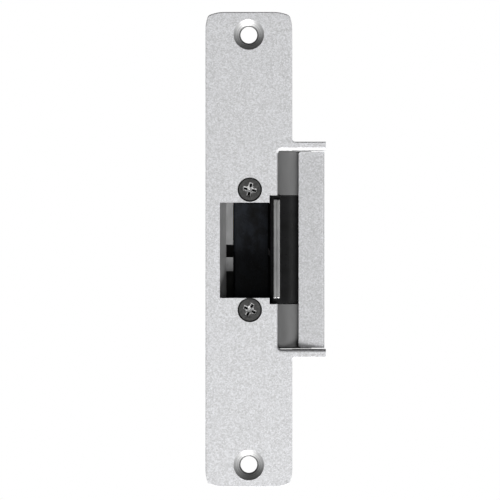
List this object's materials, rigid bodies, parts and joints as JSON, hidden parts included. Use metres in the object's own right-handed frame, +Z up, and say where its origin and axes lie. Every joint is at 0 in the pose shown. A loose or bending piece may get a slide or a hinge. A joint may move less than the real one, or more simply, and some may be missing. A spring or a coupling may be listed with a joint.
{
  "type": "electric door strike",
  "caption": "Electric door strike for a wood jamb: a long faceplate with a lip, a latch pocket and a pivoting keeper that a solenoid-driven lever locks.",
  "frame": {"origin": "midway between the two jamb-screw holes, on the faceplate's back face", "axes": "+Z up along the faceplate, -Y out of its front face towards the door edge, +X towards the lip"},
  "size_m": [0.0506, 0.0367, 0.2],
  "materials": {
    "faceplate_finish": "fine matte silver coat",
    "housing_casting": "smooth grey casting",
    "zinc_sheet": "zinc plated sheet",
    "guide_sheet": "dull grey sheet",
    "zinc_screw": "zinc plated",
    "black_screw": "blackened",
    "black_liner": "glossy black",
    "black_keeper": "semi-gloss black",
    "bright_steel": "ground bright",
    "spring_steel": "oiled spring steel",
    "lever_steel": "stamped steel",
    "buffer_rubber": "matte black",
    "turned_brass": "turned",
    "bobbin_plastic": "natural nylon",
    "copper_wire": "enamelled copper",
    "coil_tape": "polyester tape",
    "terminal_plastic": "green moulded"
  },
  "bodies": {
    "strike_body": {"faceplate": "faceplate_finish", "lip_panel": "faceplate_finish", "housing": "housing_casting", "back_cover": "zinc_sheet", "cover_screws": "zinc_screw", "plate_screws": "black_screw", "lip_screws": "zinc_screw", "solenoid_screws": "zinc_screw", "pocket_liner": "black_liner", "latch_guide": "guide_sheet", "keeper_pin": "bright_steel", "pin_clips": "spring_steel", "keeper_spring": "spring_steel", "rest_buffer": "buffer_rubber", "lever_pin": "bright_steel", "lever_clip": "spring_steel", "lever_spacer": "turned_brass", "solenoid_frame": "zinc_sheet", "solenoid_bobbin": "bobbin_plastic", "coil_winding": "copper_wire", "coil_tape": "coil_tape", "pole_piece": "bright_steel", "plunger_spring": "spring_steel", "terminal_block": "terminal_plastic", "terminal_screws": "turned_brass"},
    "keeper_body": {"keeper": "black_keeper", "keeper_crest": "bright_steel", "keeper_tail": "lever_steel"},
    "plunger_body": {"plunger": "bright_steel", "coupling_pin": "bright_steel", "spring_retainer": "spring_steel"},
    "lever_body": {"locking_lever": "lever_steel"}
  },
  "joints": [
    {"name": "keeper_pivot", "type": "hinge", "parent": "strike_body", "child": "keeper_body", "pos_m": [0.0135, 0.01, 0], "axis": [0, 0, 1], "range_deg": [0, 35], "stiffness_Nm_per_rad": 0.02, "springref_deg": -28.65},
    {"name": "plunger_slide", "type": "slide", "parent": "strike_body", "child": "plunger_body", "axis": [0, 0, 1], "range_m": [0, 0.003], "stiffness_N_per_m": 150, "springref_m": -0.002, "deforming": ["plunger_spring"]},
    {"name": "lever_pivot", "type": "hinge", "parent": "strike_body", "child": "lever_body", "pos_m": [0.0025, 0.0208, -0.0065], "axis": [0, 1, 0], "range_deg": [0, 30.52]}
  ],
  "couplings": [
    {"joint": "lever_pivot", "follows": "plunger_slide", "rad_per_m": 177.5}
  ]
}
